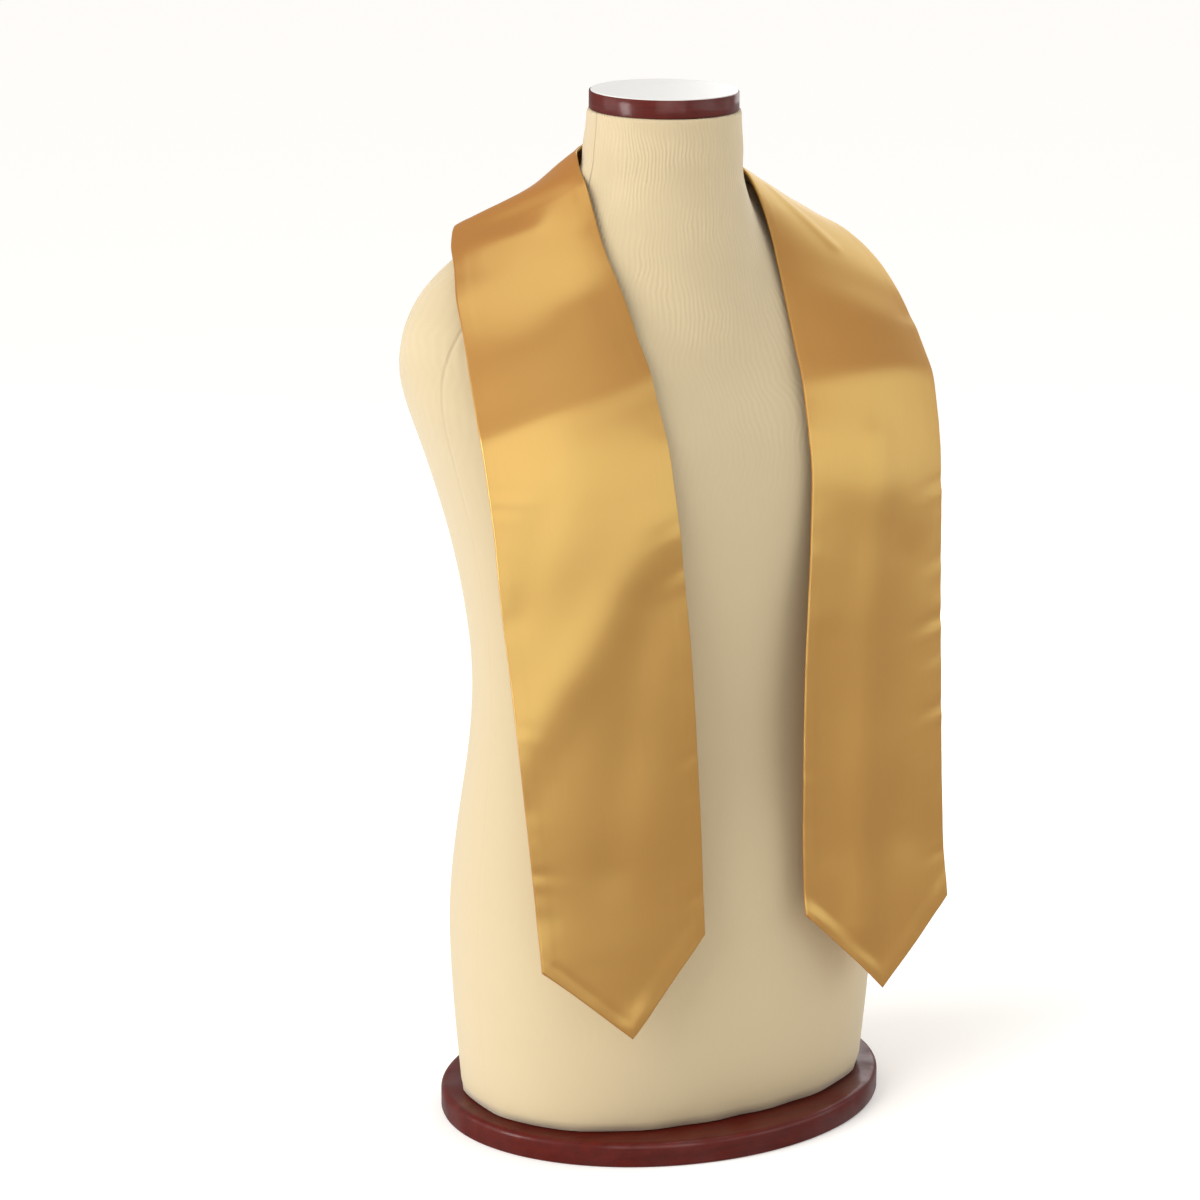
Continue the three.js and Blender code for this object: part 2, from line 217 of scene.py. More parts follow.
def smooth_step(x):
    """Rises gently from nought to one."""
    x = min(max(x, 0), 1)
    return x * x * (3 - 2 * x)


@lru_cache(maxsize=None)
def bow_at(place):
    """How far the band's middle bows out, a cubic through the rows."""
    i = min(int(place), LAST - 1)
    t = place - i
    slopes = []
    for k in (i, i + 1):
        low, high = max(k - 1, 0), min(k + 1, LAST)
        slopes.append((BOW[high].x - BOW[low].x) / (high - low))
    rise = smooth_step(t)
    bend = t * (1 - t) ** 2 * slopes[0] + t * t * (t - 1) * slopes[1]
    return BOW[i].x * (1 - rise) + BOW[i + 1].x * rise + bend


@lru_cache(maxsize=None)
def cross_line(place):
    """A line across the band at a place: its inner end and its outer end."""
    place = min(max(place, 0), LAST)
    return through(INNER, place), through(OUTER, place)


def chord(place, across):
    """A point on the straight line across the band."""
    inner, outer = cross_line(place)
    return inner.lerp(outer, across)


def band_point(place, across):
    """A point of the smooth band, before its folds."""
    over = chord(place, 1) - chord(place, 0)
    along = chord(place + 0.05, across) - chord(place - 0.05, across)
    out = along.cross(over).normalized()
    return chord(place, across) + out * (bow_at(place) * 4 * across * (1 - across))


def band_normal(place, across):
    """The way out of the smooth band, of length one."""
    low, high = max(place - 0.02, 0), min(place + 0.02, LAST)
    along = band_point(high, across) - band_point(low, across)
    over = band_point(place, across + 0.02) - band_point(place, across - 0.02)
    return along.cross(over).normalized()


STEPS = 10  # to a section, in the table of lengths
MIDDLE = [band_point(k / STEPS, 0.5) for k in range(LAST * STEPS + 1)]
LENGTHS = [0.0]
for a, b in zip(MIDDLE, MIDDLE[1:]):
    LENGTHS.append(LENGTHS[-1] + (b - a).length)


def length_at(place):
    """Distance along the band's middle from the centre-back seam, in metres."""
    x = min(max(place, 0), LAST) * STEPS
    i = min(int(x), len(LENGTHS) - 2)
    return LENGTHS[i] + (LENGTHS[i + 1] - LENGTHS[i]) * (x - i)


@lru_cache(maxsize=None)
def width_at(place):
    """The band's width, straight across."""
    return (chord(place, 1) - chord(place, 0)).length


CALM_LENGTH = 0.02  # the centre-back seam holds the cloth beside it flat, over this length
CORNER_LENGTH = length_at(CORNERS)
TIP_LENGTH = LENGTHS[-1]
HEM_SLANT = math.cos(math.atan2(TIP_LENGTH - CORNER_LENGTH, width_at(CORNERS) / 2))


def edge_distances(place, across):
    """How far a point is from the nearer long edge and from the pointed hem, in metres."""
    half = width_at(place) / 2
    off = abs(across - 0.5) * 2 * half
    hem = TIP_LENGTH - (TIP_LENGTH - CORNER_LENGTH) * off / half
    return half - off, (hem - length_at(place)) * HEM_SLANT


@lru_cache(maxsize=None)
def spread(spot):
    """Where a place and a share of the width lie on the band laid flat, in metres."""
    place, across = spot
    return Vector((length_at(place), across * width_at(place)))


def fold_height(side, place, across):
    """The soft folds' height at a point, in metres."""
    here = Vector((length_at(place), across * width_at(place)))
    total = 0.0
    for fold in FOLDS[side]:
        a = spread(fold.start)
        run = spread(fold.end) - a
        t = (here - a).dot(run) / run.length_squared
        clear = (here - a - run * min(max(t, 0), 1)).length
        breadth = fold.breadth * MM
        if clear < 3 * breadth:
            total += fold.height * MM * math.exp(-((clear / breadth) ** 2))
    return total


def pucker_depth(side, place, across):
    """The seam's puckers at a point: short grooves square to the edge, each with a raised lip."""
    total = 0.0
    width = width_at(place)
    for pucker in PUCKERS[side]:
        run_in = abs(across - pucker.edge) * width / MM
        aside = (length_at(place) - length_at(pucker.at)) / MM
        if run_in < 2 * pucker.reach and abs(aside) < PUCKER_SPAN:
            lean = aside - PUCKER_LEAN * run_in
            groove = math.exp(-((lean / PUCKER_BREADTH) ** 2))
            wave = groove - LIP_SHARE * math.exp(-(((lean - LIP_AT) / LIP_BREADTH) ** 2))
            total -= pucker.depth * MM * wave * math.exp(-((run_in / pucker.reach) ** 2))
    return total


def hem_lift(side, across, from_hem):
    """How far the pointed hem stands out, in metres."""
    share = smooth_step((across - HEM_CHANGE) / (1 - 2 * HEM_CHANGE))
    inner, outer = (
        hem.lift * smooth_step((hem.start - from_hem / MM) / (hem.start - hem.stop)) for hem in HEMS[side]
    )
    return (inner * (1 - share) + outer * share) * MM


def swelling(swell, side, aside, along):
    """A swell's height at a point of a half laid flat, without its unit. Each half has its own noise."""
    layer = swell.layer + (0 if side == "left" else 40)
    return noise.noise(Vector((aside / swell.across, along / swell.along, layer))) * swell.height


def relief(side, place, across):
    """How far the cloth stands out from the smooth band, in metres."""
    settings = bpy.context.scene.stole
    along = length_at(place)
    spot = side, across * width_at(place), along
    near_side, near_hem = edge_distances(place, across)
    near_edge = min(near_side, near_hem)
    folds = fold_height(side, place, across) * settings.fold_strength
    swell = (swelling(BROAD_SWELL, *spot) + swelling(SMALL_SWELL, *spot)) * MM
    cockle = swelling(COCKLE, *spot) * MM * math.exp(-near_edge / COCKLE_REACH)
    uneven = 1 + swelling(UNEVENNESS, *spot)
    hem = hem_lift(side, across, near_hem) * uneven
    turned_in = 1 - smooth_step((near_side - settings.seam_allowance + 2 * MM) / (5 * MM))
    ridge = settings.seam_ridge * turned_in * uneven
    calm = smooth_step(along / CALM_LENGTH)
    return (folds + swell + cockle + pucker_depth(side, place, across)) * calm + hem + ridge


def place_of(row, across):
    """Where a row of the grid, from 0 to 1, crosses a column: square at first, then turning into a V."""
    square = row * CORNERS
    turn = max(0, 1 - (CORNERS - square) / POINT_ROWS)
    return square + (LAST - CORNERS) * (1 - abs(2 * across - 1)) * turn


def crowded(share, end_step):
    """Spreads even shares of 0 to 1 so that they crowd towards both ends, down to a share of a step."""
    wave = math.sin(2 * math.pi * share) / (2 * math.pi)
    return share - wave * (1 - end_step)


HALF_GAP = 0.3 * MM  # from the centre-back seam to each half
SEAM_EDGE = 0.4 * MM  # how far short of its full roll an edge stops at the centre-back seam


def ply_mesh(name, side, depth, inset, roll, rows, columns, inward):
    """One ply of a half as an open sheet: the band's own points, moved in and rolled at its edges.

    It faces inward or outward, which is where its thickness is built from.
    """
    mesh = bpy.data.meshes.new(name)
    bm = bmesh.new()
    uv_layer = bm.loops.layers.uv.new("UVMap")
    bmesh.ops.create_grid(bm, x_segments=rows, y_segments=columns, size=0.5)
    flat = {}
    mirror = -1 if side == "right" else 1
    edge = inset / BAND_WIDTH
    for vert in bm.verts:
        row = crowded(vert.co.x + 0.5, end_step=0.25)
        across = edge + crowded(vert.co.y + 0.5, end_step=0.06) * (1 - 2 * edge)
        place = place_of(row * (1 - inset / TIP_LENGTH), across)
        flat[vert] = (across * width_at(place), length_at(place))
        near_side, near_hem = edge_distances(place, across)
        near = max(min(near_side, near_hem, length_at(place) + SEAM_EDGE) - inset, 0)
        curl = roll - math.sqrt(max(roll**2 - max(roll - near, 0) ** 2, 0))
        height = relief(side, place, across) - depth - curl
        point = band_point(place, across) + band_normal(place, across) * height
        point.x = max(point.x, HALF_GAP)
        vert.co = (point.x * mirror, point.y, point.z)
    for face in bm.faces:
        for loop in face.loops:
            loop[uv_layer].uv = flat[loop.vert]
    bm.normal_update()
    face = max(bm.faces, key=lambda f: f.calc_area())
    outwards = Vector((face.calc_center_median().x, face.calc_center_median().y, 0))
    if (face.normal.dot(outwards) > 0) == inward:
        bmesh.ops.reverse_faces(bm, faces=bm.faces)
    for face in bm.faces:
        face.smooth = True
    bm.to_mesh(mesh)
    bm.free()
    return mesh


# ---------------------------------------------------------------------------------------------
# Helpers that every operator shares.


def place_piece(mesh, name, node):
    """Links a piece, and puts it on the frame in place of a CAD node."""
    piece = bpy.data.objects.new(name, mesh)
    bpy.context.scene.collection.objects.link(piece)
    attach(piece, "root")
    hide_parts(node)
    return piece


def add(tree, kind, inputs=None, **settings):
    """Adds a shader node. Each input gets a value, or a link from another node's output."""
    node = tree.nodes.new("ShaderNode" + kind)
    for name, value in settings.items():
        setattr(node, name, value)
    for name, value in (inputs or {}).items():
        if isinstance(value, bpy.types.NodeSocket):
            tree.links.new(value, node.inputs[name])
        else:
            node.inputs[name].default_value = value
    return node


def new_material(name):
    """An empty node tree under a material's name."""
    material = bpy.data.materials.new(name)
    material.use_nodes = True
    material.node_tree.nodes.clear()
    return material, material.node_tree


def colour(rgb):
    """A colour with its alpha, as a socket takes it."""
    return (*rgb, 1.0)


def tinted(rgb, factor):
    """The same colour, lighter or darker."""
    return tuple(min(c * factor, 1.0) for c in rgb)


# ---------------------------------------------------------------------------------------------
# Materials.


def woven_satin(name, rgb, settings):
    """Polyester bridal satin, piece-dyed: long warp floats run down the band.

    The floats mirror light in the colour of the dye, and spread it across the band, so a highlight
    is a broad bar that turns dark at the slightest change of slope.
    """
    material, tree = new_material(name)
    uv = add(tree, "UVMap", uv_map="UVMap").outputs["UV"]
    drift = add(tree, "TexNoise", {"Vector": uv, "Scale": 9.0, "Detail": 2.0})
    # Warp streaks: 1 mm apart across the band, for real ones of about 0.2 mm, and 60 mm long.
    streak_map = add(tree, "Mapping", {"Vector": uv, "Scale": (1000.0, 16.0, 1.0)})
    streaks = add(tree, "TexNoise", {"Vector": streak_map.outputs[0], "Scale": 1.0, "Detail": 3.0})
    shade = add(
        tree,
        "Mix",
        {0: drift.outputs["Fac"], 6: colour(tinted(rgb, 0.92)), 7: colour(tinted(rgb, 1.06))},
        data_type="RGBA",
    )
    streak_tone = add(
        tree, "MapRange", {"Value": streaks.outputs["Fac"], "To Min": 0.94, "To Max": 1.06}
    )
    toned = add(
        tree,
        "Mix",
        {0: 1.0, 6: shade.outputs[2], 7: streak_tone.outputs[0]},
        data_type="RGBA",
        blend_type="MULTIPLY",
    )
    gloss = add(
        tree,
        "MapRange",
        {"Value": drift.outputs["Fac"], "To Min": settings.satin_roughness - 0.03,
         "To Max": settings.satin_roughness + 0.03},
    )
    # Weft picks show as the finest cross grain, 0.7 mm apart.
    pick_map = add(tree, "Mapping", {"Vector": uv, "Scale": (160.0, 1400.0, 1.0)})
    picks = add(tree, "TexNoise", {"Vector": pick_map.outputs[0], "Scale": 1.0, "Detail": 1.0})
    grain = add(
        tree,
        "Math",
        {0: streaks.outputs["Fac"], 1: picks.outputs["Fac"]},
        operation="ADD",
    )
    bump = add(tree, "Bump", {"Height": grain.outputs[0], "Strength": 0.12, "Distance": 0.05 * MM})
    tangent = add(tree, "Tangent", direction_type="UV_MAP", uv_map="UVMap")
    shader = add(
        tree,
        "BsdfPrincipled",
        {
            "Base Color": toned.outputs[2],
            "Roughness": gloss.outputs[0],
            "IOR": 3.1,
            "Specular Tint": (1.0, 0.86, 0.29, 1.0),
            "Anisotropic": 0.7,
            "Tangent": tangent.outputs[0],
            "Normal": bump.outputs[0],
            "Sheen Weight": 0.12,
            "Sheen Roughness": 0.45,
            "Sheen Tint": colour(rgb),
        },
    )
    add(tree, "OutputMaterial", {"Surface": shader.outputs[0]})
    return material


def ribbed_jersey(name, rgb, settings):
    """Cotton rib jersey stretched over the form: matt, softly ribbed, and wavy where it is drawn tight."""
    material, tree = new_material(name)
    uv = add(tree, "UVMap", uv_map="UVMap").outputs["UV"]
    # The ribs wander: slow noise shifts them sideways by more than a rib, so that they crowd and merge.
    wander = add(tree, "TexNoise", {"Vector": uv, "Scale": 15.0, "Detail": 2.5, "Roughness": 0.5})
    shift = add(
        tree, "VectorMath", {0: wander.outputs["Color"], 1: (0.023, 0.0, 0.0)}, operation="MULTIPLY"
    )
    bent = add(tree, "VectorMath", {0: uv, 1: shift.outputs[0]}, operation="ADD").outputs[0]
    # Wave texture bands: its scale of 1 is one band to 2 pi / 20 units.
    per_metre = 2 * math.pi / 20 / settings.rib_pitch
    ribs = add(
        tree,
        "TexWave",
        {"Vector": bent, "Scale": per_metre, "Distortion": 1.5, "Detail": 2.0, "Detail Scale": 0.5},
        bands_direction="X",
    )
    # Long narrow noise, of the same pitch, makes some ribs proud and drops others.
    strand_map = add(tree, "Mapping", {"Vector": bent, "Scale": (1.1 / settings.rib_pitch, 34.0, 1.0)})
    strands = add(tree, "TexNoise", {"Vector": strand_map.outputs[0], "Scale": 1.0, "Detail": 2.0})
    mixed = add(
        tree, "Mix", {0: 0.65, 2: ribs.outputs["Fac"], 3: strands.outputs["Fac"]}, data_type="FLOAT"
    )
    # Wales, the knitted columns, 0.6 mm apart.
    wales = add(
        tree, "TexWave", {"Vector": uv, "Scale": per_metre * 5, "Distortion": 0.6}, bands_direction="X"
    )
    fuzz = add(tree, "TexNoise", {"Vector": uv, "Scale": 700.0, "Detail": 3.0})
    # Ribs are plain on the neck and fade down the chest, where the cloth lies flatter.
    parts = add(tree, "SeparateXYZ", {"Vector": uv})
    fade = add(
        tree,
        "MapRange",
        {"Value": parts.outputs["Y"], "From Min": FORM_TOP - 0.33, "From Max": FORM_TOP - 0.10,
         "To Min": 0.1, "To Max": 1.0},
    )
    patch = add(tree, "TexNoise", {"Vector": uv, "Scale": 24.0, "Detail": 1.0})
    patchy = add(
        tree, "MapRange", {"Value": patch.outputs["Fac"], "From Min": 0.36, "From Max": 0.6,
                           "To Min": 0.3, "To Max": 1.0}
    )
    strength = add(tree, "Math", {0: fade.outputs[0], 1: patchy.outputs[0]}, operation="MULTIPLY")
    rib_height = add(tree, "Math", {0: mixed.outputs[0], 1: strength.outputs[0]}, operation="MULTIPLY")
    # A seam down each side of the neck, 1.4 mm broad, sunk in the bump and darkened in colour as painted
    # shade.
    off_seam = add(tree, "Math", {0: parts.outputs["X"]}, operation="ABSOLUTE").outputs[0]
    off_seam = add(tree, "Math", {0: off_seam, 1: settings.seam_place}, operation="SUBTRACT").outputs[0]
    off_seam = add(tree, "Math", {0: off_seam}, operation="ABSOLUTE").outputs[0]
    seam = add(
        tree,
        "MapRange",
        {"Value": off_seam, "From Min": 0.0, "From Max": 0.7 * MM, "To Min": -1.2, "To Max": 0.0},
    )
    seam = add(tree, "Math", {0: seam.outputs[0], 1: fade.outputs[0]}, operation="MULTIPLY")
    relief_height = add(tree, "Math", {0: rib_height.outputs[0], 1: seam.outputs[0]}, operation="ADD")
    # Painted shade and light: the colour darkens in the grooves between the ribs and along the seams, and
    # lightens on the ribs' crests.
    tone = add(
        tree,
        "Mix",
        {0: relief_height.outputs[0], 6: colour(tinted(rgb, 0.95)), 7: colour(tinted(rgb, 1.08))},
        data_type="RGBA",
    )
    rib_bump = add(
        tree,
        "Bump",
        {"Height": relief_height.outputs[0], "Strength": 0.7, "Distance": settings.rib_depth},
    )
    wale_bump = add(
        tree,
        "Bump",
        {"Height": wales.outputs["Fac"], "Strength": 0.25, "Distance": 0.08 * MM,
         "Normal": rib_bump.outputs[0]},
    )
    fuzz_bump = add(
        tree,
        "Bump",
        {"Height": fuzz.outputs["Fac"], "Strength": 0.3, "Distance": 0.1 * MM,
         "Normal": wale_bump.outputs[0]},
    )
    shader = add(
        tree,
        "BsdfPrincipled",
        {
            "Base Color": tone.outputs[2],
            "Roughness": 0.92,
            "IOR": 1.45,
            "Normal": fuzz_bump.outputs[0],
            "Sheen Weight": 0.25,
            "Sheen Roughness": 0.6,
        },
    )
    add(tree, "OutputMaterial", {"Surface": shader.outputs[0]})
    return material


def lacquered_wood(name, rgb, stretch):
    """Beech stained dark cherry and sprayed with gloss lacquer: a faint grain under a clear, wet shine."""
    material, tree = new_material(name)
    place = add(tree, "TexCoord").outputs["Object"]
    grain_map = add(tree, "Mapping", {"Vector": place, "Scale": stretch})
    grain = add(
        tree, "TexNoise", {"Vector": grain_map.outputs[0], "Scale": 1.0, "Detail": 6.0, "Roughness": 0.6}
    )
    # Pores, dashes along the grain: 0.3 mm apart and 7 mm long on the cap, 0.9 by 14 mm on the plate.
    pore_map = add(tree, "Mapping", {"Vector": grain_map.outputs[0], "Scale": (5.0, 7.0, 7.0)})
    pores = add(tree, "TexNoise", {"Vector": pore_map.outputs[0], "Scale": 1.0, "Detail": 2.0})
    stain = add(
        tree,
        "Mix",
        {0: grain.outputs["Fac"], 6: colour(tinted(rgb, 0.5)), 7: colour(tinted(rgb, 1.55))},
        data_type="RGBA",
    )
    pore_dark = add(
        tree,
        "MapRange",
        {"Value": pores.outputs["Fac"], "From Min": 0.3, "From Max": 0.45, "To Min": 0.7, "To Max": 1.0},
    )
    stained = add(
        tree,
        "Mix",
        {0: 1.0, 6: stain.outputs[2], 7: pore_dark.outputs[0]},
        data_type="RGBA",
        blend_type="MULTIPLY",
    )
    # Hand rubbing leaves the gloss uneven, so that what it mirrors breaks into streaks.
    ripple = add(tree, "TexNoise", {"Vector": place, "Scale": 42.0, "Detail": 3.0})
    rubbed = add(
        tree, "MapRange", {"Value": ripple.outputs["Fac"], "From Min": 0.35, "From Max": 0.65,
                           "To Min": 0.1, "To Max": 0.5}
    )
    bump = add(tree, "Bump", {"Height": ripple.outputs["Fac"], "Strength": 0.35, "Distance": 0.5 * MM})
    shader = add(
        tree,
        "BsdfPrincipled",
        {
            "Base Color": stained.outputs[2],
            "Roughness": 0.5,
            "IOR": 1.5,
            "Specular IOR Level": 0.15,
            "Coat Weight": rubbed.outputs[0],
            "Coat Roughness": 0.18,
            "Coat Normal": bump.outputs[0],
        },
    )
    add(tree, "OutputMaterial", {"Surface": shader.outputs[0]})
    return material


def painted_board(name, rgb):
    """White laminate let into the cap: smooth and even, with faint wipe marks in its gloss."""
    material, tree = new_material(name)
    place = add(tree, "TexCoord").outputs["Object"]
    wipe_map = add(
        tree, "Mapping", {"Vector": place, "Rotation": (0, 0, 0.5), "Scale": (220.0, 30.0, 30.0)}
    )
    wipes = add(tree, "TexNoise", {"Vector": wipe_map.outputs[0], "Scale": 1.0, "Detail": 3.0})
    cloud = add(tree, "TexNoise", {"Vector": place, "Scale": 45.0, "Detail": 2.0})
    tone = add(
        tree,
        "Mix",
        {0: cloud.outputs["Fac"], 6: colour(tinted(rgb, 0.97)), 7: colour(tinted(rgb, 1.02))},
        data_type="RGBA",
    )
    gloss = add(tree, "MapRange", {"Value": wipes.outputs["Fac"], "To Min": 0.24, "To Max": 0.4})
    shader = add(
        tree,
        "BsdfPrincipled",
        {"Base Color": tone.outputs[2], "Roughness": gloss.outputs[0], "IOR": 1.5},
    )
    add(tree, "OutputMaterial", {"Surface": shader.outputs[0]})
    return material


def studio_floor(name, rgb):
    """Matt painted floor, lit from below: pale, even, with the slightest roller texture."""
    material, tree = new_material(name)
    place = add(tree, "TexCoord").outputs["Object"]
    roller = add(tree, "TexNoise", {"Vector": place, "Scale": 300.0, "Detail": 2.0})
    bump = add(tree, "Bump", {"Height": roller.outputs["Fac"], "Strength": 0.05, "Distance": 0.2 * MM})
    shader = add(
        tree,
        "BsdfPrincipled",
        {
            "Base Color": colour(rgb),
            "Roughness": 0.85,
            "Normal": bump.outputs[0],
            "Emission Color": colour(rgb),
            "Emission Strength": 0.25,
        },
    )
    add(tree, "OutputMaterial", {"Surface": shader.outputs[0]})
    return material


# ---------------------------------------------------------------------------------------------
# Settings.


def size_prop(name, description, millimetres):
    """A length that a user may change."""
    return FloatProperty(
        name=name, description=description, default=millimetres * MM, min=0.0, unit="LENGTH", precision=4
    )


def colour_prop(name, description, code):
    """A colour that a user may change, from its sRGB hex code."""
    return FloatVectorProperty(
        name=name, description=description, default=linear(code), size=3, min=0, max=1, subtype="COLOR"
    )


class StoleSettings(bpy.types.PropertyGroup):
    face_thickness: size_prop("Face Thickness", "Thickness of the satin that shows", 1.0)
    lining_thickness: size_prop("Lining Thickness", "Thickness of the underside ply", 1.0)
    lining_depth: size_prop("Lining Depth", "From the face's surface to the lining", 1.4)
    lining_inset: size_prop("Lining Inset", "The lining's edge inside the face's edge", 1.3)
    edge_roll: size_prop("Edge Roll", "Radius to which the face's edge is turned", 1.4)
    seam_allowance: size_prop("Seam Allowance", "Breadth of the cloth turned in at a seam", 10.5)
    seam_ridge: size_prop("Seam Ridge", "Height that the turned-in cloth lifts a long edge", 0.18)
    fold_strength: FloatProperty(
        name="Fold Strength", description="Scale of the soft folds", default=1.0, min=0.0, max=2.0
    )
    rows: IntProperty(name="Rows", description="Quads along a half", default=330, min=60, max=600)
    columns: IntProperty(name="Columns", description="Quads across a half", default=64, min=16, max=120)
    satin_colour: colour_prop("Satin Colour", "Dye of the face", "#9C5B29")
    # Painted light: the lining is the face's satin, set a little lighter so that its shaded underside looks
    # brighter.
    lining_colour: colour_prop("Lining Colour", "Dye of the underside", "#A0622F")
    satin_roughness: FloatProperty(
        name="Satin Roughness", description="Blur of the satin's sheen", default=0.36, min=0.1, max=1.0
    )


class FormSettings(bpy.types.PropertyGroup):
    jersey_colour: colour_prop("Jersey Colour", "Colour of the cover", "#BEAC88")
    rib_pitch: size_prop("Rib Pitch", "Distance between ribs round the neck", 2.8)
    rib_depth: size_prop("Rib Depth", "Height of a rib", 1.1)
    seam_place: size_prop("Seam Place", "From the middle of the front to a side seam, round the neck", 88)
    smoothing: IntProperty(name="Smoothing", description="Subdivision levels", default=2, min=0, max=3)


class StandSettings(bpy.types.PropertyGroup):
    wood_colour: colour_prop("Wood Colour", "Stain under the lacquer", "#500E04")
    top_colour: colour_prop("Cap Top Colour", "Colour of the disc on the cap", "#DCDAD6")
    cap_radius: size_prop("Cap Radius", "Radius of the neck cap", 58)
    cap_thickness: size_prop("Cap Thickness", "Height of the cap's wooden edge", 14)
    edge_round: size_prop("Edge Rounding", "Radius worn on the cap's wooden edges", 0.6)
    plate_round: size_prop("Plate Rounding", "Radius of the base plate's upper edge", 5.0)
    round_steps: IntProperty(name="Round Steps", description="Sides of a turned piece", default=160, min=24)


class StageSettings(bpy.types.PropertyGroup):
    floor_colour: colour_prop("Floor Colour", "Paint of the studio floor", "#F2F0ED")
    floor_radius: size_prop("Floor Radius", "Reach of the floor", 40000)
    camera_azimuth: FloatProperty(
        name="Camera Azimuth", description="Turn round the form", default=math.radians(-30), unit="ROTATION"
    )
    camera_pitch: FloatProperty(
        name="Camera Pitch", description="Tilt below level", default=math.radians(14.46), unit="ROTATION"
    )
    camera_distance: size_prop("Camera Distance", "From the camera to its aim", 3135)
    lens: FloatProperty(name="Lens", description="Focal length in mm on a 36 mm sensor", default=119.73)
    key_azimuth: FloatProperty(
        name="Key Azimuth", description="Turn of the key round the form", default=math.radians(-85),
        unit="ROTATION"
    )
    key_elevation: FloatProperty(
        name="Key Elevation", description="Height of the key", default=math.radians(28), unit="ROTATION"
    )
    key_spread: FloatProperty(
        name="Key Spread", description="Breadth of the key", default=math.radians(50), unit="ROTATION"
    )
    key_strength: FloatProperty(name="Key Strength", description="Light from the key", default=3.04)
    softbox_strength: FloatProperty(
        name="Softbox Strength", description="Light from the softboxes", default=2.3
    )
    room_strength: FloatProperty(name="Room Strength", description="Light from the room", default=0.45)


# ---------------------------------------------------------------------------------------------
# Operators.


class STOLE_OT_build_halves(bpy.types.Operator):
    """Builds the stole: a satin face and its lining for each half"""

    bl_idname = "stole.build_halves"
    bl_label = "Build Stole"

    def execute(self, context):
        settings = context.scene.stole
        satin = woven_satin("bridal_satin_piece_dyed", settings.satin_colour, settings)
        # The lining's lighter colour is painted light on its shaded underside.
        lining = woven_satin("satin_underside_painted_lighter", settings.lining_colour, settings)
        for side in ("left", "right"):
            face = self.ply(context, f"{side}_face", side, satin)
            under = self.ply(context, f"{side}_lining", side, lining)
        return {"FINISHED"}

    def ply(self, context, node, side, material):
        """One ply, finished, in place of its CAD node. A lining's edge lies flat in the face's roll."""
        settings = context.scene.stole
        is_face = node.endswith("face")
        thickness = settings.face_thickness if is_face else settings.lining_thickness
        mesh = ply_mesh(
            "stole_" + node,
            side,
            depth=0.0 if is_face else settings.lining_depth,
            inset=0.0 if is_face else settings.lining_inset,
            roll=settings.edge_roll if is_face else 0.0,
            rows=settings.rows if is_face else settings.rows // 2,
            columns=settings.columns if is_face else settings.columns // 2,
            inward=not is_face,
        )
        mesh.materials.append(material)
        piece = place_piece(mesh, "stole_" + node, node)
        thick = piece.modifiers.new("Thickness", "SOLIDIFY")
        thick.thickness = thickness
        thick.offset = -1.0 if is_face else 1.0
        return piece


NECK_RADIUS = 62 * MM
NECK_AXIS = 10 * MM  # how far the neck's middle lies behind the cap's
RIM_CREASE = 0.85  # keeps the cover's rims crisp under its smoothing


class FORM_OT_build_cover(bpy.types.Operator):
    """Builds the jersey cover over the form's torso and neck"""

    bl_idname = "form.build_cover"
    bl_label = "Build Form Cover"

    def execute(self, context):
        settings = context.scene.dress_form
        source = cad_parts["form_body"].data
        bm = bmesh.new()
        bm.from_mesh(source)
        bmesh.ops.remove_doubles(bm, verts=bm.verts, dist=0.02 * MM)
        bmesh.ops.join_triangles(
            bm, faces=bm.faces, angle_face_threshold=math.pi, angle_shape_threshold=math.pi
        )
        top = max(v.co.z for v in bm.verts)
        foot = min(v.co.z for v in bm.verts)
        crease = bm.edges.layers.float.new("crease_edge")
        for edge in bm.edges:
            ends = [v.co for v in edge.verts]
            rim = all(abs(c.z - foot) < MM for c in ends) or all(top - c.z < 3 * MM for c in ends)
            edge[crease] = RIM_CREASE if rim else 0.0
        self.unwrap(bm)
        for face in bm.faces:
            face.smooth = True
        mesh = bpy.data.meshes.new("form_cover")
        bm.to_mesh(mesh)
        bm.free()
        mesh.materials.append(ribbed_jersey("cotton_rib_jersey_knitted", settings.jersey_colour, settings))
        piece = place_piece(mesh, "form_cover", "form_body")
        smooth = piece.modifiers.new("Smooth", "SUBSURF")
        smooth.levels = smooth.render_levels = settings.smoothing
        return {"FINISHED"}

    def unwrap(self, bm):
        """Lays the cover flat: distance round the neck across, height up."""
        uv_layer = bm.loops.layers.uv.new("UVMap")
        for face in bm.faces:
            middle = face.calc_center_median()
            facing = math.atan2(middle.x, NECK_AXIS - middle.y)
            for loop in face.loops:
                co = loop.vert.co
                turn = math.atan2(co.x, NECK_AXIS - co.y)
                turn += round((facing - turn) / (2 * math.pi)) * 2 * math.pi
                loop[uv_layer].uv = (turn * NECK_RADIUS, co.z)


LIP = 0.9 * MM  # wood left round the cap's disc
WELL_DEPTH = 2.8 * MM
CLEARANCE = 0.3 * MM  # round the disc and under it
DISC_RISE = 0.6 * MM  # of the disc over the wood
CAP_TILT = math.radians(1.2)


